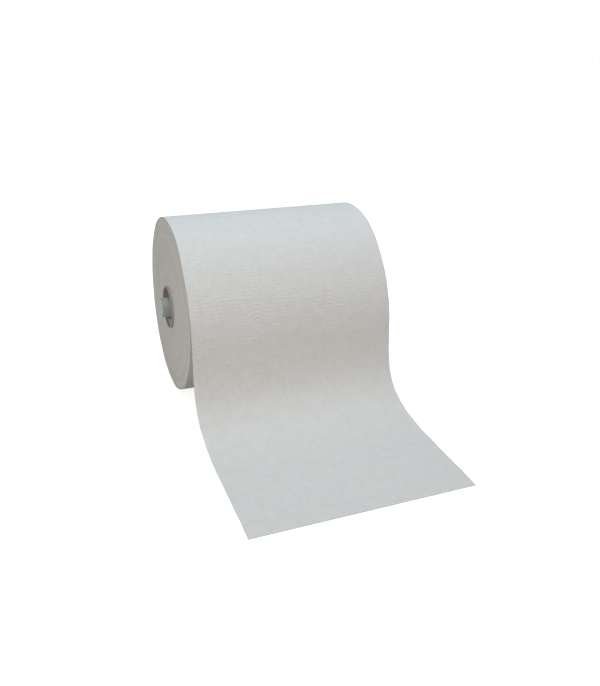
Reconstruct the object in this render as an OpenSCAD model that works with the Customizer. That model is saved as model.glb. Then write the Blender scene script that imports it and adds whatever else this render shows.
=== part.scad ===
// Hand towel roll lying on its side, with its loose end drawn out across the floor in front.
// The origin is the middle of the flat spot that the roll rests on. X runs along the roll's
// axis, the loose end comes forward along minus Y, and Z is up.

/* [Roll] */
// Width of the paper web, from end to end of the roll
roll_width = 210; // [120:1:320]
// Diameter over the last full turn
roll_diameter = 183; // [130:1:260]
// How far the soft roll settles at its underside
flat_spot_depth = 0.8; // [0.4:0.1:1.5]
// How far the core sits below the middle of the roll
core_drop = 4; // [0:0.5:6]

/* [Turns] */
// Number of turns that stand out at each end
turns_shown = 11; // [4:1:14]
// Width of the gap beside a turn that stands out
turn_gap = 0.7; // [0.4:0.1:1.2]
// Depth of that gap
turn_depth = 0.6; // [0.3:0.1:1.5]

/* [Loose end] */
// Thickness of the embossed web, high points included
web_thickness = 0.5; // [0.3:0.1:1]
// Angle above the axle at which the web leaves the roll
leave_angle = 45; // [35:1:60]
// Distance in front of the roll at which the web meets the floor
touch_reach = 102; // [80:1:180]
// Length of web that lies flat beyond there
flat_length = 81; // [20:1:400]

/* [Core tube] */
// Outer diameter of the board tube
core_diameter = 44.5; // [38:0.5:60]
// Wall of the board tube
core_wall = 1.6; // [1:0.1:2.5]
// How far the tube stands out of the paper at each end
core_proud = 2.5; // [0:0.1:4]

/* [Plugs] */
// Diameter of the spigot that the roll turns on
spigot_diameter = 20.5; // [14:0.5:24]
// How far the spigot stands out of the paper
spigot_proud = 9.4; // [5:0.1:15]
// How far the plug is pushed in from the end of the tube
pocket_depth = 6; // [5:0.5:20]
// Wall of the moulded plug
plug_wall = 1.5; // [1:0.1:2]
// Length of the sleeve that grips the tube
sleeve_length = 20; // [12:1:40]
// Gap all round between sleeve and tube
plug_clearance = 0.05; // [0.05:0.05:0.3]

/* [Hidden] */

roll_r = roll_diameter / 2;
axis_z = roll_r - flat_spot_depth;
core_r = core_diameter / 2;
core_z = axis_z - core_drop;
core_bore_r = core_r - core_wall;
// The first turn is this far off the tube all round
turn_clearance = 0.05;
core_length = roll_width + 2 * core_proud;

// The web hangs on an arc wider than the roll until it is nearly upright, then sweeps forward.
hang_r = 1.32 * roll_r;
hang_end_angle = 3;
hang_steps = 8;
sweep_steps = 20;
// How far the fall and the run along the floor pull on the sweep between them
fall_pull = 0.64;
floor_pull = 0.91;
// How deep the root of the loose end is buried in the roll, and how many degrees behind its start
root_depth = 3;
root_angle = 4;

// First and last radius of the turns that stand out, and the degrees between two points on them
turn_first_r = core_r + 5;
turn_last_r = roll_r - 3;
turn_step = 10;

spigot_r = spigot_diameter / 2;
spigot_bore_r = spigot_r - plug_wall;
sleeve_r = core_bore_r - plug_clearance;
sleeve_bore_r = sleeve_r - plug_wall;
edge_r = 0.8;
overcut = 1;

paper_colour = "#D3D2CD";
board_colour = "#A39B8E";
plug_colour = "#C3CACC";

// A point on a circle in the plane across the roll, with angles counted up from the front
function on_circle(centre, r, angle) = centre + r * [-cos(angle), sin(angle)];

// A point on the curve that starts at p0, is pulled by p1 and p2, and ends at p3
function curve_point(p0, p1, p2, p3, t) =
    pow(1 - t, 3) * p0 + 3 * pow(1 - t, 2) * t * p1 + 3 * (1 - t) * t * t * p2 + t * t * t * p3;

// The underside of the loose end, from where it leaves the roll to its cut edge
roll_centre = [0, axis_z];
leave_point = on_circle(roll_centre, roll_r - web_thickness, leave_angle);
hang_centre = on_circle(leave_point, -hang_r, leave_angle);
hang_points = [for (i = [0 : hang_steps])
    on_circle(hang_centre, hang_r, leave_angle + (hang_end_angle - leave_angle) * i / hang_steps)];
sweep_start = hang_points[hang_steps];
touch_point = [-roll_r - touch_reach, 0];
fall_handle = sweep_start - fall_pull * sweep_start[1] * [tan(hang_end_angle), 1];
floor_handle = touch_point + floor_pull * [sweep_start[0] - touch_point[0], 0];
sweep_points = [for (i = [1 : sweep_steps])
    curve_point(sweep_start, fall_handle, floor_handle, touch_point, i / sweep_steps)];
cut_edge = touch_point - [flat_length, 0];
underside = concat(hang_points, sweep_points, [cut_edge]);

// The direction out of the web's upper face at point i of the underside
function along(i) = underside[min(i + 1, len(underside) - 1)] - underside[max(i - 1, 0)];
function outward(i) = [along(i)[1], -along(i)[0]] / norm(along(i));
upper_side = [for (i = [0 : len(underside) - 1])
    i >= len(underside) - 2 ? underside[i] + [0, web_thickness] : underside[i] + web_thickness * outward(i)];
buried_root = on_circle(roll_centre, roll_r - root_depth, leave_angle + root_angle);

// A point on the spiral of turns at so many degrees from its start. Its middle moves from
// the core's to the roll's on the way out.
function turn_part(angle) = angle / (360 * turns_shown);
function turn_r(angle) = turn_first_r + (turn_last_r - turn_first_r) * turn_part(angle);
function turn_point(angle, side) =
    on_circle([0, core_z + core_drop * turn_part(angle)], turn_r(angle) + side, leave_angle - angle);
turn_angles = [for (angle = [0 : turn_step : 360 * turns_shown]) angle];

// Draws a flat shape across the roll and carries it along the axle from x
module along_axle(x, length) {
    translate([x, 0, 0]) rotate([90, 0, 90]) linear_extrude(height = length) children();
}

// Turns a profile of radius and height about the core's axis, with its height along plus X
module turned_on_core() {
    translate([0, 0, core_z]) rotate([0, 90, 0]) rotate_extrude($fn = 96) children();
}

module wound_body() {
    intersection() {
        along_axle(-roll_width / 2, roll_width) translate(roll_centre) circle(r = roll_r, $fn = 180);
        translate([-roll_width, -roll_r, 0]) cube([2 * roll_width, 2 * roll_r, 2 * roll_r]);
    }
}

module loose_end() {
    along_axle(-roll_width / 2, roll_width)
        polygon(concat([buried_root], upper_side, [for (i = [len(underside) - 1 : -1 : 0]) underside[i]]));
}

module turn_grooves() {
    outer_side = [for (angle = turn_angles) turn_point(angle, turn_gap / 2)];
    inner_side = [for (i = [len(turn_angles) - 1 : -1 : 0]) turn_point(turn_angles[i], -turn_gap / 2)];
    for (x = [-roll_width / 2 - overcut, roll_width / 2 - turn_depth])
        along_axle(x, turn_depth + overcut) polygon(concat(outer_side, inner_side));
}

// The wound paper with its loose end, in one piece
module paper_web() {
    color(paper_colour) difference() {
        union() {
            wound_body();
            loose_end();
        }
        along_axle(-roll_width, 2 * roll_width) translate([0, core_z])
            circle(r = core_r + turn_clearance, $fn = 96);
        turn_grooves();
    }
}

module core_tube() {
    color(board_colour) along_axle(-core_length / 2, core_length) translate([0, core_z]) difference() {
        circle(r = core_r, $fn = 96);
        circle(r = core_bore_r, $fn = 96);
    }
}

// A moulded end plug with its spigot towards plus X: a disc inside the tube, the sleeve behind its
// rim and the hollow spigot in its middle
module plug() {
    disc_at = core_length / 2 - pocket_depth;
    tip = roll_width / 2 + spigot_proud;
    color(plug_colour) turned_on_core() union() {
        translate([sleeve_bore_r, disc_at - sleeve_length]) square([plug_wall, sleeve_length]);
        translate([spigot_bore_r, disc_at - plug_wall]) square([sleeve_r - spigot_bore_r, plug_wall]);
        translate([spigot_bore_r, disc_at - plug_wall]) square([plug_wall, tip - edge_r - disc_at + plug_wall]);
        translate([0, tip - plug_wall]) square([spigot_r - edge_r, plug_wall]);
        translate([spigot_r - edge_r, tip - edge_r]) intersection() {
            circle(r = edge_r, $fn = 32);
            square(edge_r);
        }
        translate([spigot_bore_r - edge_r, tip - plug_wall]) square([plug_wall, plug_wall - edge_r]);
    }
}

module left_plug() {
    mirror([1, 0, 0]) plug();
}

module right_plug() {
    plug();
}

paper_web();
core_tube();
left_plug();
right_plug();
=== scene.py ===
"""A hand towel roll lying on its side, with its loose end drawn out across the floor.

Sizes are in millimetres, in the frame's own axes: X along the roll's axis, the loose end coming
forward along minus Y, and Z up. They turn to metres where a mesh or a node is written.
"""
import logging
import math
from dataclasses import dataclass
from enum import Enum
from functools import partial

import bpy
import numpy as np
from mathutils import Matrix, Vector


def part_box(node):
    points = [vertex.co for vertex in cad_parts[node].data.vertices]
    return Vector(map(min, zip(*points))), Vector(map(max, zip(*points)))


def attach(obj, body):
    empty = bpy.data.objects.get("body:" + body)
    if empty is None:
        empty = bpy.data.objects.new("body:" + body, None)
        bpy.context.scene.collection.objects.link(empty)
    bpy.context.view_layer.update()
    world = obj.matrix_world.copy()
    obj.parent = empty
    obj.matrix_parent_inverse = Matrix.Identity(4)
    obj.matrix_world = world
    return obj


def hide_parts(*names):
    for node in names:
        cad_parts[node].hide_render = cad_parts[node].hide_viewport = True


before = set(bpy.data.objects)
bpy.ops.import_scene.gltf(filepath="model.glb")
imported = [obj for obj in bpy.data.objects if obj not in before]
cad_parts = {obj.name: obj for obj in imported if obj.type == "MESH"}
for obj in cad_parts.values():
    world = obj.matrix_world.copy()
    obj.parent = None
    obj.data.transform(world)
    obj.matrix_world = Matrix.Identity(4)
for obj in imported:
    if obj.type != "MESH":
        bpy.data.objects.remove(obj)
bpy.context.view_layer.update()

MM = 0.001
FULL_TURN = 360
ROOT_BODY = "root"
# The kinds of node that are used most, and how a map range eases in and out
MATH = "ShaderNodeMath"
VECTOR_MATH = "ShaderNodeVectorMath"
NOISE = "ShaderNodeTexNoise"
MAP_RANGE = "ShaderNodeMapRange"
SOFT_ENDS = {"interpolation_type": "SMOOTHSTEP"}
LOG = logging.getLogger("towel_roll")


class Side(Enum):
    """An end of the roll, by the sign of X there."""

    LEFT = -1
    RIGHT = 1


class PatternMap(Enum):
    """The UV maps that patterns follow, in metres."""

    WEB = "Web"
    TURNS = "Turns"


class Trace(Enum):
    """The attributes that geometry nodes leave for a material."""

    PRESSED = "Pressed"


def linear(hex_colour: str) -> tuple[float, float, float, float]:
    """Turns an sRGB hex colour into linear light.

    Args:
        hex_colour: six hex digits after a hash sign.

    Returns:
        Red, green, blue and alpha, as a shader takes them.
    """
    parts = [int(hex_colour[i:i + 2], 16) / 255 for i in (1, 3, 5)]
    light = [p / 12.92 if p <= 0.04045 else ((p + 0.055) / 1.055) ** 2.4 for p in parts]
    return (light[0], light[1], light[2], 1.0)


def feed(node: bpy.types.Node, inputs: dict | tuple) -> None:
    """Sets and links the inputs of a node.

    Args:
        node: the node.
        inputs: what each input gets, in order or by its name or number. It is a value, a socket
            to link, or a node whose first output is linked.
    """
    for key, value in inputs.items() if isinstance(inputs, dict) else enumerate(inputs):
        if isinstance(value, bpy.types.Node):
            value = value.outputs[0]
        if isinstance(value, bpy.types.NodeSocket):
            node.id_data.links.new(value, node.inputs[key])
        else:
            node.inputs[key].default_value = value


def add_node(tree: bpy.types.NodeTree, kind: str, inputs: dict | tuple = (),
             **settings) -> bpy.types.Node:
    """Adds a node with its settings, values and links.

    Args:
        tree: the node tree that gets the node.
        kind: Blender's name for the node.
        inputs: what its inputs get, as feed takes it.
        settings: the node's own properties.

    Returns:
        The node.
    """
    node = tree.nodes.new(kind)
    for name, value in settings.items():
        setattr(node, name, value)
    feed(node, inputs)
    return node


def new_material(name: str) -> tuple[bpy.types.Material, partial, bpy.types.Node]:
    """Makes a material that has nothing but its shader.

    Args:
        name: the material's name.

    Returns:
        The material, a call that adds a node to it, and its shader.
    """
    material = bpy.data.materials.new(name)
    material.use_nodes = True
    tree = material.node_tree
    return material, partial(add_node, tree), tree.nodes["Principled BSDF"]


def new_object(name: str, data: bpy.types.ID) -> bpy.types.Object:
    """Makes an object from its data and links it to the scene.

    Args:
        name: the object's name.
        data: its mesh, curve, lamp or camera.

    Returns:
        The object.
    """
    made = bpy.data.objects.new(name, data)
    bpy.context.scene.collection.objects.link(made)
    return made


def mesh_object(name: str, points: np.ndarray, faces: list,
                sharp_angle: float = 50.0) -> bpy.types.Object:
    """Makes a smooth shaded object at the origin from points in millimetres.

    Args:
        name: the object's name.
        points: one row of x, y and z for each vertex.
        faces: lists of vertex numbers.
        sharp_angle: edges that turn by more degrees than this stay crisp.

    Returns:
        The object, linked to the scene.
    """
    mesh = bpy.data.meshes.new(name)
    mesh.from_pydata((np.asarray(points) * MM).tolist(), [], faces)
    mesh.validate()
    mesh.shade_smooth()
    mesh.set_sharp_from_angle(angle=math.radians(sharp_angle))
    return new_object(name, mesh)


def lathe(profile: np.ndarray, height: float, segments: int) -> tuple[np.ndarray, list]:
    """Turns a profile about a line along X.

    Args:
        profile: rows of x and radius, in order round the section. A radius of 0 makes a pole.
        height: how far the line is above the floor.
        segments: number of steps round the line.

    Returns:
        The points and the faces. The profile's two ends are joined unless both are poles.
    """
    points, rings = [], []
    for x, radius in profile:
        if radius == 0:
            rings.append([len(points)] * segments)
            points.append((x, 0.0, height))
            continue
        rings.append(list(range(len(points), len(points) + segments)))
        for i in range(segments):
            angle = math.tau * i / segments
            points.append((x, radius * math.cos(angle), height + radius * math.sin(angle)))
    pairs = list(zip(rings, rings[1:]))
    if profile[0][1] > 0 or profile[-1][1] > 0:
        pairs.append((rings[-1], rings[0]))
    faces = []
    for first, second in pairs:
        for i in range(segments):
            j = (i + 1) % segments
            corners = [first[i], first[j], second[j], second[i]]
            faces.append(list(dict.fromkeys(corners)))
    return np.array(points), faces


def rounded(corner: tuple, before: tuple, after: tuple, radius: float,
            steps: int = 5) -> list[tuple]:
    """Rounds a corner of a profile with a quarter-turn-like blend.

    Args:
        corner: the sharp corner.
        before: the profile's point before it.
        after: the profile's point after it.
        radius: distance from the corner at which the blend starts and ends.
        steps: number of steps along the blend.

    Returns:
        The points of the blend.
    """
    tip, back, on = (np.array(p, float) for p in (corner, before, after))
    start = tip + (back - tip) / np.linalg.norm(back - tip) * radius
    end = tip + (on - tip) / np.linalg.norm(on - tip) * radius
    ways = [i / steps for i in range(steps + 1)]
    return [tuple((1 - t) ** 2 * start + 2 * t * (1 - t) * tip + t * t * end) for t in ways]


@dataclass(frozen=True)
class RollSizes:
    """The roll's driving sizes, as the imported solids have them."""

    half_width: float
    radius: float
    axis_height: float
    core_radius: float
    core_height: float
    cut_edge: float

    @classmethod
    def from_frame(cls) -> "RollSizes":
        """Reads the sizes from the boxes of the solids.

        Returns:
            The sizes.
        """
        low, high = (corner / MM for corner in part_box("paper_web"))
        core_low, core_high = (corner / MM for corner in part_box("core_tube"))
        return cls(
            half_width=high.x,
            radius=high.y,
            axis_height=high.z - high.y,
            core_radius=core_high.y,
            core_height=(core_low.z + core_high.z) / 2,
            cut_edge=low.y,
        )


@dataclass(frozen=True)
class WebPath:
    """The line that the web's outer face follows: round the roll's last turn, then the loose end.

    Every point is y and z. An angle is counted up from the front of the roll.
    """

    sizes: RollSizes
    thickness: float = 0.5
    leave_angle: float = 45.0
    hang_ratio: float = 1.32
    hang_end_angle: float = 3.0
    hang_points: int = 40
    touch_reach: float = 102.0
    fall_pull: float = 0.64
    floor_pull: float = 0.91
    sweep_points: int = 120
    flat_blend: float = 0.25

    def on_circle(self, centre: np.ndarray, radius: float, angle: float) -> np.ndarray:
        """Gives the point of a circle at an angle above its front."""
        turn = math.radians(angle)
        return centre + radius * np.array([-math.cos(turn), math.sin(turn)])

    def above_floor(self, height: float) -> float:
        """Flattens a height softly against the floor, as the soft roll settles."""
        return (height + math.hypot(height, self.flat_blend)) / 2

    def last_turn(self) -> list[np.ndarray]:
        """Follows the last turn, from under the loose end right round to where it leaves.

        Returns:
            Points one degree apart.
        """
        centre = np.array([0.0, self.sizes.axis_height])
        points = []
        for angle in range(FULL_TURN + 1):
            radius = self.sizes.radius - self.thickness * (1 - angle / FULL_TURN)
            point = self.on_circle(centre, radius, self.leave_angle - angle)
            points.append(np.array([point[0], self.above_floor(point[1])]))
        return points

    def underside(self) -> list[np.ndarray]:
        """Follows the underside of the loose end, from the roll to its cut edge.

        Returns:
            Points along the hanging arc, the sweep and the floor.
        """
        centre = np.array([0.0, self.sizes.axis_height])
        leave = self.on_circle(centre, self.sizes.radius - self.thickness, self.leave_angle)
        hang_radius = self.hang_ratio * self.sizes.radius
        hang_centre = self.on_circle(leave, -hang_radius, self.leave_angle)
        angles = np.linspace(self.leave_angle, self.hang_end_angle, self.hang_points)
        points = [self.on_circle(hang_centre, hang_radius, angle) for angle in angles]
        start = points[-1]
        touch = np.array([-self.sizes.radius - self.touch_reach, 0.0])
        lean = np.array([math.tan(math.radians(self.hang_end_angle)), 1.0])
        fall = start - self.fall_pull * start[1] * lean
        slide = touch + self.floor_pull * np.array([start[0] - touch[0], 0.0])
        for t in np.linspace(0, 1, self.sweep_points)[1:]:
            s = 1 - t
            points.append(s ** 3 * start + 3 * s * s * t * fall + 3 * s * t * t * slide
                          + t ** 3 * touch)
        points.append(np.array([self.sizes.cut_edge, 0.0]))
        return points

    def outer_face(self) -> np.ndarray:
        """Joins the last turn and the upper face of the loose end.

        Returns:
            Points in order from the covered start of the turn to the cut edge.
        """
        under = np.array(self.underside())
        along = np.gradient(under, axis=0)
        along[-2:] = under[-1] - under[-2]
        outward = np.column_stack([along[:, 1], -along[:, 0]])
        outward /= np.linalg.norm(along, axis=1)[:, None]
        return np.vstack([np.array(self.last_turn())[:-1], under + self.thickness * outward])

    def lengths(self) -> tuple[float, float]:
        """Measures the last turn, whose points are a degree apart, and the whole path."""
        steps = np.linalg.norm(np.diff(self.outer_face(), axis=0), axis=1)
        return float(steps[:FULL_TURN].sum()), float(steps.sum())

    def curve(self) -> bpy.types.Object:
        """Makes the path a curve that a node tree can measure along.

        Returns:
            The curve object, which the caller removes.
        """
        line = self.outer_face()
        data = bpy.data.curves.new("web_path", "CURVE")
        data.dimensions = "3D"
        spline = data.splines.new("POLY")
        spline.points.add(len(line) - 1)
        for point, (y, z) in zip(spline.points, line):
            point.co = (0.0, y * MM, z * MM, 1.0)
        return new_object("web_path", data)


@dataclass(frozen=True)
class TissuePaper:
    """Embossed tissue, creped and rolled against an engraved cylinder: matt and softly mottled.

    The dimples are what the eye takes for cloth, and the crepe gives the dull, fibrous face.
    """

    colour: str = "#DFDDD8"
    thin_colour: str = "#D4D2CD"
    mottle_size: float = 9.0
    # How much darker the dimples are painted: denser paper and painted shade in the hollows
    painted_dimple_shade: float = -0.05
    pin_size: tuple[float, float] = (3.4, 1.7)
    pin_height: float = 0.07
    crepe_size: tuple[float, float] = (7.0, 1.3)
    crepe_height: float = 0.09
    roughness: float = 0.94
    sheen: float = 0.25

    def build(self) -> bpy.types.Material:
        """Makes the material.

        Returns:
            The tissue, which reads the web's own map.
        """
        material, add, shader = new_material("embossed_tissue")
        web = add("ShaderNodeUVMap", uv_map=PatternMap.WEB.value)
        mottle = add(NOISE, {
            "Vector": web, "Scale": 1 / (self.mottle_size * MM), "Detail": 4.0, "Roughness": 0.6,
        }, noise_dimensions="2D")
        # Pressed dimples are painted darker: denser paper, and painted shade in their hollows
        pressed = add("ShaderNodeAttribute", attribute_name=Trace.PRESSED.value).outputs["Fac"]
        share = add(MATH, (pressed, self.painted_dimple_shade, mottle), operation="MULTIPLY_ADD")
        tone = add("ShaderNodeMix", {
            0: share, 6: linear(self.thin_colour), 7: linear(self.colour),
        }, data_type="RGBA")

        pin_grid, crepe_grid = (add("ShaderNodeMapping", {
            "Vector": web, "Scale": (1 / (across * MM), 1 / (along * MM), 1.0),
        }) for across, along in (self.pin_size, self.crepe_size))
        # The pin marks between the dimples are half this size on the real web, too fine to show
        pins = add("ShaderNodeTexVoronoi", {
            "Vector": pin_grid, "Scale": 1.0, "Randomness": 0.8,
        }, voronoi_dimensions="2D", feature="SMOOTH_F1")
        # Crepe folds lie about 0.3 mm apart, and are drawn four times as coarse so that they show
        crepe = add(NOISE, {
            "Vector": crepe_grid, "Scale": 1.0, "Detail": 3.0,
        }, noise_dimensions="2D")
        crepe_bump = add("ShaderNodeBump", {"Height": crepe, "Distance": self.crepe_height * MM})
        pin_bump = add("ShaderNodeBump", {
            "Height": pins, "Normal": crepe_bump, "Distance": self.pin_height * MM,
        })
        feed(shader, {
            "Base Color": tone.outputs[2], "Normal": pin_bump, "Roughness": self.roughness,
            "Specular IOR Level": self.sheen,
        })
        return material


@dataclass(frozen=True)
class CutTurns:
    """The cut edges of hundreds of turns of tissue: fine rings, duller than the face of the web.

    The outermost turns lean in, and the shade there is painted as a darker line round the end.
    """

    radius: float
    colour: str = "#DFDAD1"
    shade_colour: str = "#D6D0C7"
    rim_shade_colour: str = "#B8B2A8"
    rim_shade_width: float = 3.0
    turn_size: tuple[float, float] = (1.1, 120.0)
    bundle_size: tuple[float, float] = (7.0, 400.0)
    tone_range: tuple[float, float] = (0.12, 0.38)
    ring_height: float = 0.06
    fibre_size: float = 0.8
    fibre_height: float = 0.08
    roughness: float = 0.97
    sheen: float = 0.2
    # The map's distance outwards starts from here on the right end, so that its rings differ
    far_end: float = 500.0

    def build(self) -> bpy.types.Material:
        """Makes the material.

        Returns:
            The cut edges, which read the map that runs outwards and round.
        """
        material, add, shader = new_material("cut_tissue_edges")
        turns = add("ShaderNodeUVMap", uv_map=PatternMap.TURNS.value)
        # The rings are noise drawn out round the roll. Real turns lie about 0.1 mm apart, so each
        # ring stands for ten of them.
        fine, wide = (add("ShaderNodeMapping", {
            "Vector": turns, "Scale": (1 / (outwards * MM), 1 / (around * MM), 1.0),
        }) for outwards, around in (self.turn_size, self.bundle_size))
        rings = add(NOISE, {
            "Vector": fine, "Scale": 1.0, "Detail": 3.0, "Roughness": 0.65,
        }, noise_dimensions="2D")
        bundles = add(NOISE, {"Vector": wide, "Scale": 1.0, "Detail": 1.0}, noise_dimensions="2D")
        both = add(MATH, (rings, bundles), operation="MULTIPLY")
        spread = add(MAP_RANGE, (both, *self.tone_range))
        tone = add("ShaderNodeMix", {
            0: spread, 6: linear(self.shade_colour), 7: linear(self.colour),
        }, data_type="RGBA")
        distance = add("ShaderNodeSeparateXYZ", (turns,))
        radius = add(MATH, (distance, self.far_end * MM), operation="MODULO")
        # Painted shade: a band at the outer rim of the end is painted darker
        rim = add(MAP_RANGE, (
            radius, (self.radius - self.rim_shade_width) * MM, self.radius * MM,
        ), **SOFT_ENDS)
        rim_shaded = add("ShaderNodeMix", {
            0: rim, 6: tone.outputs[2], 7: linear(self.rim_shade_colour),
        }, data_type="RGBA")

        place = add("ShaderNodeTexCoord").outputs["Object"]
        fibres = add(NOISE, {"Vector": place, "Scale": 1 / (self.fibre_size * MM), "Detail": 2.0})
        fibre_bump = add("ShaderNodeBump", {"Height": fibres, "Distance": self.fibre_height * MM})
        ring_bump = add("ShaderNodeBump", {
            "Height": rings, "Normal": fibre_bump, "Distance": self.ring_height * MM,
        })
        feed(shader, {
            "Base Color": rim_shaded.outputs[2], "Normal": ring_bump, "Roughness": self.roughness,
            "Specular IOR Level": self.sheen,
        })
        return material


@dataclass(frozen=True)
class CoreBoard:
    """Wound board: plies of recycled fibre, rough and flecked."""

    name: str = "wound_grey_board"
    colour: str = "#A8A59E"
    fleck_colour: str = "#9A968F"
    fleck_size: float = 1.6
    fleck_height: float = 0.08
    roughness: float = 0.9

    def build(self) -> bpy.types.Material:
        """Makes the material.

        Returns:
            The board, with flecks in the space of the object.
        """
        material, add, shader = new_material(self.name)
        flecks = add(NOISE, {
            "Vector": add("ShaderNodeTexCoord").outputs["Object"],
            "Scale": 1 / (self.fleck_size * MM), "Detail": 4.0,
        })
        tone = add("ShaderNodeMix", {
            0: flecks, 6: linear(self.fleck_colour), 7: linear(self.colour),
        }, data_type="RGBA")
        bump = add("ShaderNodeBump", {"Height": flecks, "Distance": self.fleck_height * MM})
        feed(shader, {"Base Color": tone.outputs[2], "Normal": bump, "Roughness": self.roughness})
        return material


@dataclass(frozen=True)
class MouldedPolypropylene:
    """Natural polypropylene, injection moulded: milky, slightly see-through, with a dull sheen."""

    colour: str = "#ACAFA9"
    deep_colour: str = "#9FA29C"
    cloud_size: float = 6.0
    grain_size: float = 0.4
    grain_height: float = 0.01
    roughness: float = 0.48
    index: float = 1.49
    milkiness: float = 0.15
    light_depth: float = 1.0

    def build(self) -> bpy.types.Material:
        """Makes the material.

        Returns:
            The plastic, with a faint cloudiness and a fine moulded grain.
        """
        material, add, shader = new_material("natural_polypropylene")
        place = add("ShaderNodeTexCoord").outputs["Object"]
        clouds, grain = (add(NOISE, {
            "Vector": place, "Scale": 1 / (size * MM), "Detail": 1.0,
        }) for size in (self.cloud_size, self.grain_size))
        tone = add("ShaderNodeMix", {
            0: clouds, 6: linear(self.deep_colour), 7: linear(self.colour),
        }, data_type="RGBA")
        bump = add("ShaderNodeBump", {"Height": grain, "Distance": self.grain_height * MM})
        feed(shader, {
            "Base Color": tone.outputs[2], "Normal": bump, "Roughness": self.roughness,
            "IOR": self.index, "Subsurface Weight": self.milkiness,
            "Subsurface Radius": (1.0, 1.0, 1.0), "Subsurface Scale": self.light_depth * MM,
        })
        return material


@dataclass(frozen=True)
class Embossing:
    """The marks pressed into the web: rows of short dimples, and patches of wavy lines.

    A pair named as a slope holds the heights of a cosine between which a mark's side rises.
    """

    dimple_across: float = 7.6
    dimple_along: float = 3.7
    dimple_depth: float = 0.31
    dimple_drift: float = 2.2
    drift_size: float = 9.0
    # A dimple takes up about half of its cell both ways, and its ends are steeper than its sides
    end_slope: tuple[float, float] = (-0.5, 0.5)
    side_slope: tuple[float, float] = (-0.6, 0.9)
    # Areas of this size are pressed more or less firmly
    area_size: float = 24.0
    area_range: tuple[float, float] = (0.35, 0.6)
    faintest: float = 0.45
    # The paper between the marks bulges as far as this share of their depth
    bulge: float = 0.4
    patch_across: float = 78.0
    patch_along: float = 66.0
    patch_radius: float = 14.5
    patch_core: float = 0.8
    line_spacing: float = 4.4
    line_depth: float = 0.28
    line_slope: tuple[float, float] = (-0.2, 1.0)
    wave_length: float = 21.0
    wave_bend: float = 2.2


@dataclass(frozen=True)
class Slack:
    """How far soft paper strays from its path.

    Both holds are distances from the cut edge: the web leaves the floor's hold over the first
    pair, and comes into the roll's over the second.
    """

    sway: float = 1.2
    sway_size: float = 70.0
    floor_hold: tuple[float, float] = (120.0, 190.0)
    roll_hold: tuple[float, float] = (230.0, 310.0)
    edge_wander: float = 0.5
    edge_size: float = 35.0


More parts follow.
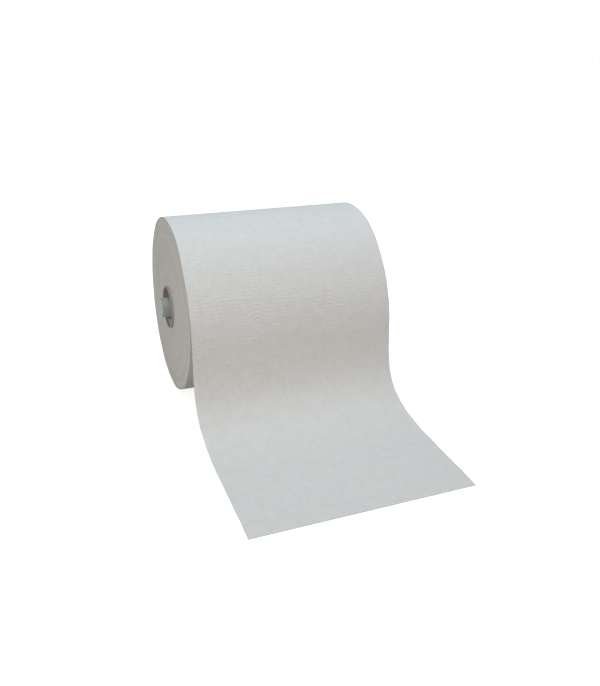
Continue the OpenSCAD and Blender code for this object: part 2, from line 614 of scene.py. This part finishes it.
@dataclass
class WebTree:
    """The nodes that lay out the flat web, emboss it and wrap it along the path.

    Points within face_margin of the outer face carry the marks. Edges that bend by more radians
    than crisp_bend stay crisp.
    """

    marks: Embossing
    slack: Slack
    face_margin: float = 0.05
    crisp_bend: float = 1.0

    def __post_init__(self) -> None:
        """Starts the tree with its named inputs, the path and the place on the flat web."""
        self.tree = bpy.data.node_groups.new("wrapped_web", "GeometryNodeTree")
        sockets = {
            "Object": ("Path",),
            "Float": ("Start", "Length", "Width", "Thickness", "Dimple depth", "Dimple drift",
                      "Patch radius", "Line spacing", "Line depth", "Wave length", "Wave bend",
                      "Sway", "Edge wander", "Seed"),
            "Int": ("Rows", "Columns", "Under columns"),
            "Vector": ("Dimple cell", "Patch cell"),
            "Material": ("Paper",),
        }
        face = self.tree.interface
        for kind, names in sockets.items():
            for name in names:
                face.new_socket(name, in_out="INPUT", socket_type=f"NodeSocket{kind}")
        face.new_socket("Geometry", in_out="OUTPUT", socket_type="NodeSocketGeometry")
        self.add = add = partial(add_node, self.tree)
        self.given = add("NodeGroupInput").outputs
        path = add("GeometryNodeObjectInfo", {"Object": self.given["Path"]})
        self.path = path.outputs["Geometry"]
        position = add("GeometryNodeInputPosition")
        self.place = add("ShaderNodeSeparateXYZ", (position,)).outputs
        self.spot = add("ShaderNodeCombineXYZ", (self.place["X"], self.place["Y"]))
        self.drift_noise, self.area_noise, self.sway_noise = (add(NOISE, {
            "Vector": self.spot, "Scale": 1 / (size * MM), "Detail": 1.0, "W": self.given["Seed"],
        }, noise_dimensions="4D") for size in (
            self.marks.drift_size, self.marks.area_size, self.slack.sway_size,
        ))

    def build(self) -> bpy.types.NodeTree:
        """Joins the parts of the tree.

        Returns:
            The node tree, with the web's sizes as named inputs.
        """
        add, given = self.add, self.given
        mapped = add("GeometryNodeStoreNamedAttribute", {
            "Geometry": self.flat_slab(), "Name": PatternMap.WEB.value, "Value": self.spot,
        }, data_type="FLOAT2", domain="CORNER")
        depth = given["Dimple depth"]
        pressed = add(MATH, (self.wavy_patches(), self.dimples()), operation="MAXIMUM")
        share = add(MATH, (pressed, depth), operation="DIVIDE")
        # The material paints the dimples darker by this share: painted shade, and denser paper
        traced = add("GeometryNodeStoreNamedAttribute", {
            "Geometry": mapped, "Name": Trace.PRESSED.value, "Value": share,
        }, data_type="FLOAT", domain="POINT")
        bulge = add(MATH, (depth, self.marks.bulge), operation="MULTIPLY")
        left = add(MATH, (bulge, pressed), operation="SUBTRACT")
        level = -self.face_margin * MM
        on_face = add(MATH, (self.place["Z"], level), operation="GREATER_THAN")
        relief = add(MATH, (left, on_face), operation="MULTIPLY")
        lift = add(MATH, (relief, self.swing()), operation="ADD")
        height = add(MATH, (self.place["Z"], lift), operation="ADD")

        sample = add("GeometryNodeSampleCurve", {
            "Curves": self.path, "Length": self.place["Y"],
        }, mode="LENGTH").outputs
        outward = add(VECTOR_MATH, (sample["Tangent"], (1.0, 0.0, 0.0)), operation="CROSS_PRODUCT")
        offset = add(VECTOR_MATH, {0: outward, "Scale": height}, operation="SCALE")
        across = add(MATH, (self.place["X"], self.wander()), operation="ADD")
        sideways = add("ShaderNodeCombineXYZ", (across,))
        base = add(VECTOR_MATH, (sample["Position"], sideways), operation="ADD")
        point = add(VECTOR_MATH, (base, offset), operation="ADD")
        # Where the roll rests, the floor presses the dimples flat, and nothing else is held back
        rested = add(VECTOR_MATH, (point, (-math.inf, -math.inf, 0.0)), operation="MAXIMUM")
        wrapped = add("GeometryNodeSetPosition", {"Geometry": traced, "Position": rested})

        bend = add("GeometryNodeInputMeshEdgeAngle").outputs["Unsigned Angle"]
        rim = add(MATH, (bend, self.crisp_bend), operation="GREATER_THAN")
        crisp = add("GeometryNodeSetShadeSmooth", {
            "Geometry": wrapped, "Selection": rim, "Shade Smooth": False,
        }, domain="EDGE")
        whole = add("GeometryNodeRealizeInstances", {"Geometry": crisp})
        dressed = add("GeometryNodeSetMaterial", {"Geometry": whole, "Material": given["Paper"]})
        add("NodeGroupOutput", {"Geometry": dressed})
        return self.tree

    def flat_slab(self) -> bpy.types.Node:
        """Adds the web as a flat closed slab, with fewer columns on its underside.

        Returns:
            The slab, with x across, y along the whole path and z from the outer face.
        """
        add, given = self.add, self.given
        columns = given["Columns"]
        near = add("ShaderNodeCombineXYZ", {"Y": given["Start"]})
        reach = add(MATH, (given["Start"], given["Length"]), operation="ADD")
        far = add("ShaderNodeCombineXYZ", {"Y": reach})
        line = add("GeometryNodeCurvePrimitiveLine", {"Start": near, "End": far})
        rows = add("GeometryNodeResampleCurve", {"Curve": line, "Count": given["Rows"]})
        count = add(MATH, (columns, given["Under columns"]), operation="ADD")
        number = add("GeometryNodeInputIndex")
        half = add(MATH, (given["Width"], 0.5), operation="MULTIPLY")
        other_half = add(MATH, (half, -1.0), operation="MULTIPLY")
        last = add(MATH, (columns, 1.0), operation="SUBTRACT")
        over = add(MAP_RANGE, (number, 0.0, last, half, other_half))
        end = add(MATH, (count, 1.0), operation="SUBTRACT")
        under = add(MAP_RANGE, (number, columns, end, other_half, half))
        is_under = add(MATH, (number, last), operation="GREATER_THAN")
        x = add("ShaderNodeMix", {"Factor": is_under, "A": over, "B": under})
        z = add(MATH, (is_under, given["Thickness"]), operation="MULTIPLY")
        corner = add("ShaderNodeCombineXYZ", (x, z))
        points = add("GeometryNodePoints", {"Count": count, "Position": corner})
        section = add("GeometryNodePointsToCurves", {"Points": points, "Weight": number})
        closed = add("GeometryNodeSetSplineCyclic", {"Geometry": section, "Cyclic": True})
        return add("GeometryNodeCurveToMesh", {
            "Curve": rows, "Profile Curve": closed, "Fill Caps": True,
        })

    def dimples(self) -> bpy.types.Node:
        """Adds the rows of dimples, each row shifted by chance, drifting and fainter in places.

        Returns:
            The depth of the dimples.
        """
        add, given, marks = self.add, self.given, self.marks
        loose = self.drift_noise.outputs["Color"]
        about = add(VECTOR_MATH, (loose, (0.5, 0.5, 0.5)), operation="SUBTRACT")
        drift = add(VECTOR_MATH, {0: about, "Scale": given["Dimple drift"]}, operation="SCALE")
        moved = add(VECTOR_MATH, (self.spot, drift), operation="ADD")
        cells = add(VECTOR_MATH, (moved, given["Dimple cell"]), operation="DIVIDE")
        place = add("ShaderNodeSeparateXYZ", (cells,)).outputs
        row = add(MATH, (place["Y"],), operation="ROUND")
        chance = add("ShaderNodeTexWhiteNoise", {"W": row}, noise_dimensions="1D")
        shifted = add(MATH, (place["X"], chance), operation="ADD")
        dash = 1.0
        for cell, slope in ((shifted, marks.end_slope), (place["Y"], marks.side_slope)):
            angle = add(MATH, (cell, math.tau), operation="MULTIPLY")
            wave = add(MATH, (angle,), operation="COSINE")
            side = add(MAP_RANGE, (wave, *slope), **SOFT_ENDS)
            dash = add(MATH, (dash, side), operation="MULTIPLY")
        firm = add(MAP_RANGE, (self.area_noise, *marks.area_range, marks.faintest, 1.0))
        uneven = add(MATH, (dash, firm), operation="MULTIPLY")
        return add(MATH, (uneven, given["Dimple depth"]), operation="MULTIPLY")

    def wavy_patches(self) -> bpy.types.Node:
        """Adds the patches, whose wavy lines run across the web in one and along it in the next.

        Returns:
            The depth of the lines.
        """
        add, given, marks = self.add, self.given, self.marks
        cell, radius = given["Patch cell"], given["Patch radius"]
        core = add(MATH, (radius, marks.patch_core), operation="MULTIPLY")
        cells = add(VECTOR_MATH, (self.spot, cell), operation="DIVIDE")
        total = 0.0
        for shift, runs, climbs in ((0.0, "X", "Y"), (0.5, "Y", "X")):
            moved = add(VECTOR_MATH, (cells, (shift, shift, 0.5)), operation="ADD")
            within = add(VECTOR_MATH, (moved,), operation="FRACTION")
            centred = add(VECTOR_MATH, (within, (0.5, 0.5, 0.5)), operation="SUBTRACT")
            arm = add(VECTOR_MATH, (centred, cell), operation="MULTIPLY")
            reach = add(VECTOR_MATH, (arm,), operation="LENGTH").outputs["Value"]
            place = add("ShaderNodeSeparateXYZ", (arm,)).outputs
            run = add(MATH, (place[runs], given["Wave length"]), operation="DIVIDE")
            turn = add(MATH, (run, math.tau), operation="MULTIPLY")
            swing = add(MATH, (turn,), operation="COSINE")
            bend = add(MATH, (swing, given["Wave bend"]), operation="MULTIPLY")
            line = add(MATH, (place[climbs], bend), operation="ADD")
            number = add(MATH, (line, given["Line spacing"]), operation="DIVIDE")
            angle = add(MATH, (number, math.tau), operation="MULTIPLY")
            wave = add(MATH, (angle,), operation="COSINE")
            crest = add(MAP_RANGE, (wave, *marks.line_slope), **SOFT_ENDS)
            fade = add(MAP_RANGE, (reach, core, radius, 1.0, 0.0), **SOFT_ENDS)
            lines = add(MATH, (crest, fade), operation="MULTIPLY")
            total = add(MATH, (total, lines), operation="ADD")
        return add(MATH, (total, given["Line depth"]), operation="MULTIPLY")

    def swing(self) -> bpy.types.Node:
        """Adds the slow sway of soft paper, least where it lies on the roll or on the floor.

        Returns:
            How far the web stands off its path.
        """
        add, given, slack = self.add, self.given, self.slack
        about = add(MATH, (self.sway_noise, 0.5), operation="SUBTRACT")
        length = add("GeometryNodeCurveLength", {"Curve": self.path})
        left = add(MATH, (length, self.place["Y"]), operation="SUBTRACT")
        weight = 1.0
        for (start, end), low in ((slack.floor_hold, 0.0), (slack.roll_hold, 1.0)):
            free = add(MAP_RANGE, (left, start * MM, end * MM, low, 1.0 - low), **SOFT_ENDS)
            weight = add(MATH, (weight, free), operation="MULTIPLY")
        share = add(MATH, (about, weight), operation="MULTIPLY")
        return add(MATH, (share, given["Sway"]), operation="MULTIPLY")

    def wander(self) -> bpy.types.Node:
        """Adds the unevenness of the web's trimmed edges.

        Returns:
            How far the edges lie sideways.
        """
        trim = self.add(NOISE, {
            "W": self.place["Y"], "Scale": 1 / (self.slack.edge_size * MM), "Detail": 2.0,
        }, noise_dimensions="1D")
        astray = self.add(MATH, (trim, 0.5), operation="SUBTRACT")
        return self.add(MATH, (astray, self.given["Edge wander"]), operation="MULTIPLY")


@dataclass
class PaperWeb:
    """A length of the web, wrapped along the path as one closed sheet and embossed."""

    name: str
    path: WebPath
    start: float
    length: float
    finish: bpy.types.Material
    row_spacing: float = 0.72
    column_spacing: float = 1.15
    under_columns: int = 8
    embossing: Embossing = Embossing()
    slack: Slack = Slack()
    seed: float = 3.0

    def inputs(self, guide: bpy.types.Object) -> dict[str, object]:
        """Lists what the tree's named inputs get.

        Args:
            guide: the path's curve.

        Returns:
            A value for each input. An amount that goes either way is doubled, because noise goes
            half a unit either way.
        """
        marks, slack, width = self.embossing, self.slack, 2 * self.path.sizes.half_width
        lengths = {
            "Start": self.start, "Length": self.length, "Width": width,
            "Thickness": self.path.thickness, "Dimple depth": marks.dimple_depth,
            "Dimple drift": 2 * marks.dimple_drift, "Patch radius": marks.patch_radius,
            "Line spacing": marks.line_spacing, "Line depth": marks.line_depth,
            "Wave length": marks.wave_length, "Wave bend": marks.wave_bend,
            "Sway": 2 * slack.sway, "Edge wander": 2 * slack.edge_wander,
        }
        return {name: length * MM for name, length in lengths.items()} | {
            "Path": guide,
            "Rows": round(self.length / self.row_spacing),
            "Columns": round(width / self.column_spacing),
            "Under columns": self.under_columns,
            "Dimple cell": (marks.dimple_across * MM, marks.dimple_along * MM, 1.0),
            "Patch cell": (marks.patch_across * MM, marks.patch_along * MM, 1.0),
            "Seed": self.seed,
            "Paper": self.finish,
        }

    def build(self) -> bpy.types.Object:
        """Runs the nodes and keeps their result as a plain mesh.

        Returns:
            The web's object.
        """
        guide = self.path.curve()
        tree = WebTree(self.embossing, self.slack).build()
        made = new_object(self.name, bpy.data.meshes.new(self.name))
        modifier = made.modifiers.new("wrapped_web", "NODES")
        modifier.node_group = tree
        values = self.inputs(guide)
        for item in tree.interface.items_tree:
            if item.in_out == "INPUT":
                modifier[item.identifier] = values[item.name]
        depsgraph = bpy.context.evaluated_depsgraph_get()
        plain = bpy.data.meshes.new_from_object(made.evaluated_get(depsgraph))
        made.modifiers.remove(modifier)
        made.data = plain
        made.data.name = self.name
        bpy.data.objects.remove(guide)
        return made


@dataclass
class WoundTurns:
    """All the turns under the last one, as one body whose ends show their edges as rings."""

    path: WebPath
    finish: bpy.types.Material
    map_shift: float
    ring_pitch: float = 0.85
    segments: int = 180
    ring_relief: float = 0.07
    bundle_rings: int = 7
    bundle_relief: float = 0.08
    sway: float = 0.06
    sway_twist: float = 40.0
    give: float = 0.99
    lap: float = 0.05
    map_radius: float = 60.0
    seed: int = 11

    def ring_depths(self, count: int) -> np.ndarray:
        """Works out how far each ring lies inside the end of the roll.

        Args:
            count: number of rings.

        Returns:
            A depth for each ring.
        """
        random = np.random.default_rng(self.seed)
        fine = random.random(count)
        knots = np.arange(0, count + self.bundle_rings, self.bundle_rings)
        coarse = np.interp(np.arange(count), knots, random.random(len(knots)))
        return self.ring_relief * fine + self.bundle_relief * coarse

    def faces(self, rings: int) -> list[list[int]]:
        """Lists the faces of both ends, the bore and the outside.

        Args:
            rings: number of rings on each end.

        Returns:
            The vertex numbers of each face.
        """
        count = (rings + 1) * self.segments
        strips = [(k * count + i * self.segments, self.segments, side is Side.RIGHT)
                  for k, side in enumerate(Side) for i in range(rings)]
        strips += [(0, count, True), (rings * self.segments, count, False)]
        faces = []
        for first, stride, flip in strips:
            for j in range(self.segments):
                a, b = first + j, first + (j + 1) % self.segments
                quad = [a, b, b + stride, a + stride]
                faces.append(quad[::-1] if flip else quad)
        return faces

    def build(self) -> bpy.types.Object:
        """Builds the body.

        Returns:
            The body's object, with a map that runs outwards and round.
        """
        sizes = self.path.sizes
        rings = round((sizes.radius - sizes.core_radius) / self.ring_pitch)
        shares = np.linspace(0, 1, rings + 1)[:, None]
        angles = FULL_TURN * np.arange(self.segments) / self.segments
        outer = sizes.radius - self.path.thickness * (2 - angles / FULL_TURN) + self.lap
        radii = sizes.core_radius + shares * (outer[None, :] - sizes.core_radius)
        turn = np.radians(self.path.leave_angle - angles)[None, :]
        heights = sizes.core_height + shares * (sizes.axis_height - sizes.core_height)
        y = -radii * np.cos(turn)
        # The flat spot presses the turns near it up by the same amount, and less towards the core
        pressed = self.path.thickness + (outer[None, :] - radii) * self.give
        z = np.maximum(heights + radii * np.sin(turn), pressed)
        depth = self.ring_depths(rings + 1)[:, None]
        depth = depth + self.sway * np.sin(turn * 2 + shares * self.sway_twist)
        points = [np.stack([side.value * (sizes.half_width - depth), y, z], -1).reshape(-1, 3)
                  for side in Side]
        made = mesh_object("wound_turns", np.vstack(points), self.faces(rings))
        self.map_turns(made, radii, angles)
        made.data.materials.append(self.finish)
        return made

    def map_turns(self, made: bpy.types.Object, radii: np.ndarray, angles: np.ndarray) -> None:
        """Gives the body a map with the distance outwards and the distance round.

        Args:
            made: the body's object.
            radii: the radius of each ring at each step round.
            angles: the degrees of each step round.
        """
        outwards = np.tile(radii.reshape(-1), 2)
        sine = np.broadcast_to(np.sin(np.radians(angles)), radii.shape)
        around = np.tile(sine.reshape(-1), 2) * self.map_radius
        layer = made.data.uv_layers.new(name=PatternMap.TURNS.value)
        corners = np.zeros(len(made.data.loops), np.int32)
        made.data.loops.foreach_get("vertex_index", corners)
        shift = np.where(corners >= radii.size, self.map_shift, 0.0)
        uv = np.column_stack([outwards[corners] + shift, around[corners]]) * MM
        layer.data.foreach_set("uv", uv.astype(np.float32).reshape(-1))


@dataclass
class CoreTube:
    """The board tube that the web is wound on, with a darker ply inside."""

    finish: bpy.types.Material
    inner_ply: bpy.types.Material
    wall: float = 1.6
    edge: float = 0.35
    edge_steps: int = 3
    segments: int = 128

    def build(self) -> bpy.types.Object:
        """Builds the tube with its cut ends slightly rounded.

        Returns:
            The tube's object.
        """
        low, high = (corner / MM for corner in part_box("core_tube"))
        height = (low.z + high.z) / 2
        outer, inner, end = high.y, high.y - self.wall, high.x
        corners = [(-end, inner), (-end, outer), (end, outer), (end, inner)]
        profile = []
        for i, corner in enumerate(corners):
            profile += rounded(corner, corners[i - 1], corners[(i + 1) % 4], self.edge,
                               self.edge_steps)
        points, faces = lathe(np.array(profile), height, self.segments)
        made = mesh_object("core_board_tube", points, faces)
        made.data.materials.append(self.finish)
        made.data.materials.append(self.inner_ply)
        for face in made.data.polygons:
            middle = face.center / MM
            if math.hypot(middle.y, middle.z - height) < inner + self.edge / 4:
                face.material_index = 1
        return made


@dataclass
class EndPlug:
    """A moulded plug in the tube's end: a disc, a sleeve behind it and the spigot before it."""

    side: Side
    finish: bpy.types.Material
    wall: float = 1.5
    pocket_depth: float = 6.0
    spigot_radius: float = 10.25
    draft: float = 0.15
    fillet: float = 1.2
    edge: float = 0.8
    rim_edge: float = 0.5
    sleeve_edge: float = 0.3
    inner_fillet: float = 0.4
    tip_fillet: float = 0.6
    segments: int = 128

    def build(self) -> bpy.types.Object:
        """Builds the plug as one turned section.

        Returns:
            The plug's object.
        """
        low, high = (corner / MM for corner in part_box(f"{self.side.name.lower()}_plug"))
        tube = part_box("core_tube")[1].x / MM
        back, tip = sorted((abs(low.x), abs(high.x)))
        sleeve, bore = high.y, high.y - self.wall
        spigot, hollow = self.spigot_radius, self.spigot_radius - self.wall
        disc = tube - self.pocket_depth
        # Each corner of the section, with how far it is rounded
        corners = [
            ((tip, spigot - self.draft), self.edge), ((disc, spigot), self.fillet),
            ((disc, sleeve), self.rim_edge), ((back, sleeve), self.sleeve_edge),
            ((back, bore), self.sleeve_edge), ((disc - self.wall, bore), self.inner_fillet),
            ((disc - self.wall, hollow), self.inner_fillet),
            ((tip - self.wall, hollow - self.draft), self.tip_fillet),
        ]
        outline = [(tip, 0), *(corner for corner, _ in corners), (tip - self.wall, 0)]
        profile = [outline[0]]
        for i, (corner, rounding) in enumerate(corners):
            profile += rounded(corner, outline[i], outline[i + 2], rounding)
        profile.append(outline[-1])
        turned = [(self.side.value * x, r) for x, r in profile]
        points, faces = lathe(np.array(turned), (low.z + high.z) / 2, self.segments)
        if self.side is Side.RIGHT:
            faces = [face[::-1] for face in faces]
        made = mesh_object(f"{self.side.name.lower()}_end_plug", points, faces)
        made.data.materials.append(self.finish)
        return made


@dataclass(frozen=True)
class Lamp:
    """A soft square lamp, with its place and aim in millimetres and its power in watts."""

    name: str
    place: tuple[float, float, float]
    side: float
    power: float
    colour: str
    aim: tuple[float, float, float] = (0.0, -60.0, 60.0)

    def build(self) -> None:
        """Adds the lamp."""
        data = bpy.data.lights.new(self.name, "AREA")
        data.shape = "SQUARE"
        data.size = self.side * MM
        data.energy = self.power
        data.color = linear(self.colour)[:3]
        made = new_object(self.name, data)
        way = Vector(self.aim) - Vector(self.place)
        turn = way.to_track_quat("-Z", "Y").to_matrix().to_4x4()
        made.matrix_world = Matrix.Translation(Vector(self.place) * MM) @ turn


@dataclass
class Studio:
    """A plain white floor, soft light and the camera."""

    azimuth: float = -21.957
    elevation: float = 19.905
    distance: float = 844.1
    target: tuple[float, float, float] = (42.63, 0.0, 117.8)
    roll: float = 1.616
    focal_pixels: float = 757.7
    rise_pixels: float = 78.0
    image_height: int = 686
    sensor: float = 36.0
    sight: tuple[float, float] = (10.0, 200000.0)
    sky_strength: float = 0.3
    sky_above: str = "#FBFDFF"
    sky_around: str = "#FFFFFF"
    sky_blend: tuple[float, float] = (0.2, 0.9)
    floor_colour: str = "#D0D0D0"
    floor_lift: float = 0.82
    floor_reach: float = 60000.0
    floor_gap: float = 0.05
    lamps: tuple[Lamp, ...] = (
        Lamp("top_lamp", (0, 0, 1100), 700, 5.1, "#CAEAFF"),
        Lamp("key_lamp", (0, -900, 1300), 900, 5.4, "#FFF3EB"),
        Lamp("side_lamp", (-1200, -1200, 700), 900, 6.7, "#FFF5F1"),
    )

    def camera(self) -> None:
        """Adds the camera where the photograph was taken from, as the scene's own."""
        around, up = math.radians(self.azimuth), math.radians(self.elevation)
        back = Vector((math.sin(around) * math.cos(up), -math.cos(around) * math.cos(up),
                       math.sin(up)))
        data = bpy.data.cameras.new("camera")
        data.sensor_width = self.sensor
        data.lens = self.focal_pixels * self.sensor / self.image_height
        data.shift_y = -self.rise_pixels / self.image_height
        data.clip_start, data.clip_end = (reach * MM for reach in self.sight)
        made = new_object("camera", data)
        turn = (-back).to_track_quat("-Z", "Y").to_matrix().to_4x4()
        lean = Matrix.Rotation(math.radians(self.roll), 4, "Z")
        place = (Vector(self.target) + back * self.distance) * MM
        made.matrix_world = Matrix.Translation(place) @ turn @ lean
        bpy.context.scene.camera = made

    def seen(self, add: partial) -> bpy.types.Node:
        """Adds a switch that is on for what the camera sees, also in a gloss or through glass.

        Args:
            add: the call that adds a node.

        Returns:
            The switch.
        """
        rays = add("ShaderNodeLightPath").outputs
        gloss = add(MATH, (rays["Is Camera Ray"], rays["Is Glossy Ray"]), operation="MAXIMUM")
        return add(MATH, (gloss, rays["Is Transmission Ray"]), operation="MAXIMUM")

    def floor(self) -> bpy.types.Object:
        """Adds the floor, which looks white to the camera and keeps the shadow.

        Returns:
            The floor's object.
        """
        reach, drop = self.floor_reach, -self.floor_gap
        corners = [(-reach, -reach, drop), (reach, -reach, drop), (reach, reach, drop),
                   (-reach, reach, drop)]
        made = mesh_object("studio_floor", np.array(corners), [[0, 1, 2, 3]])
        material, add, shader = new_material("white_floor")
        glow = add(MATH, (self.seen(add), self.floor_lift), operation="MULTIPLY")
        feed(shader, {
            "Base Color": linear(self.floor_colour), "Roughness": 0.9,
            "Specular IOR Level": 0.0, "Emission Color": linear("#FFFFFF"),
            "Emission Strength": glow,
        })
        made.data.materials.append(material)
        return made

    def sky(self) -> None:
        """Adds a soft surround, cooler from above, that looks white to the camera."""
        world = bpy.data.worlds.new("surround")
        world.use_nodes = True
        bpy.context.scene.world = world
        tree = world.node_tree
        add = partial(add_node, tree)
        way = add("ShaderNodeTexCoord").outputs["Generated"]
        rise = add("ShaderNodeSeparateXYZ", (way,)).outputs["Z"]
        share = add(MAP_RANGE, (rise, *self.sky_blend), **SOFT_ENDS)
        tint = add("ShaderNodeMix", {
            0: share, 6: linear(self.sky_around), 7: linear(self.sky_above),
        }, data_type="RGBA").outputs[2]
        soft = tree.nodes["Background"]
        feed(soft, {"Color": tint, "Strength": self.sky_strength})
        white = add("ShaderNodeBackground", {"Color": linear("#FFFFFF"), "Strength": 1.0})
        both = add("ShaderNodeMixShader", (self.seen(add), soft, white))
        feed(tree.nodes["World Output"], {"Surface": both})

    def build(self) -> None:
        """Sets up the surround, the floor, the lamps, the camera and the view."""
        self.sky()
        self.floor()
        for lamp in self.lamps:
            lamp.build()
        self.camera()
        bpy.context.scene.view_settings.view_transform = "Standard"


@dataclass
class TowelRoll:
    """The whole roll: web, turns, core and plugs."""

    sizes: RollSizes
    loose_row_spacing: float = 0.66

    def build(self) -> list[bpy.types.Object]:
        """Builds each piece, attaches it to the root body and hides the solid that it stands for.

        Returns:
            The pieces.
        """
        path = WebPath(self.sizes)
        plastic = MouldedPolypropylene().build()
        tissue = TissuePaper().build()
        edges = CutTurns(self.sizes.radius)
        inner_ply = CoreBoard("brown_inner_ply", "#A3998C", "#8C8275")
        turn, whole = path.lengths()
        webs = (
            PaperWeb("last_turn_below", path, 0.0, turn / 2, tissue),
            PaperWeb("last_turn_above", path, turn / 2, turn / 2, tissue),
            PaperWeb("loose_end", path, turn, whole - turn, tissue, self.loose_row_spacing),
        )
        made = [(web.build(), "paper_web", "paper") for web in webs]
        made += [
            (WoundTurns(path, edges.build(), edges.far_end).build(), "paper_web", "paper"),
            (CoreTube(CoreBoard().build(), inner_ply.build()).build(), "core_tube", "board"),
        ]
        for side in Side:
            made.append((EndPlug(side, plastic).build(), f"{side.name.lower()}_plug", "plug"))
        for piece, node, slot in made:
            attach(piece, ROOT_BODY)
            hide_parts(node)
        return [piece for piece, _, _ in made]


def main() -> None:
    """Builds the roll and its studio, and reports each piece."""
    logging.basicConfig(level=logging.INFO, format="%(message)s")
    for piece in TowelRoll(RollSizes.from_frame()).build():
        LOG.info("%s: %d faces", piece.name, len(piece.data.polygons))
    Studio().build()


if __name__ == "__main__":
    main()
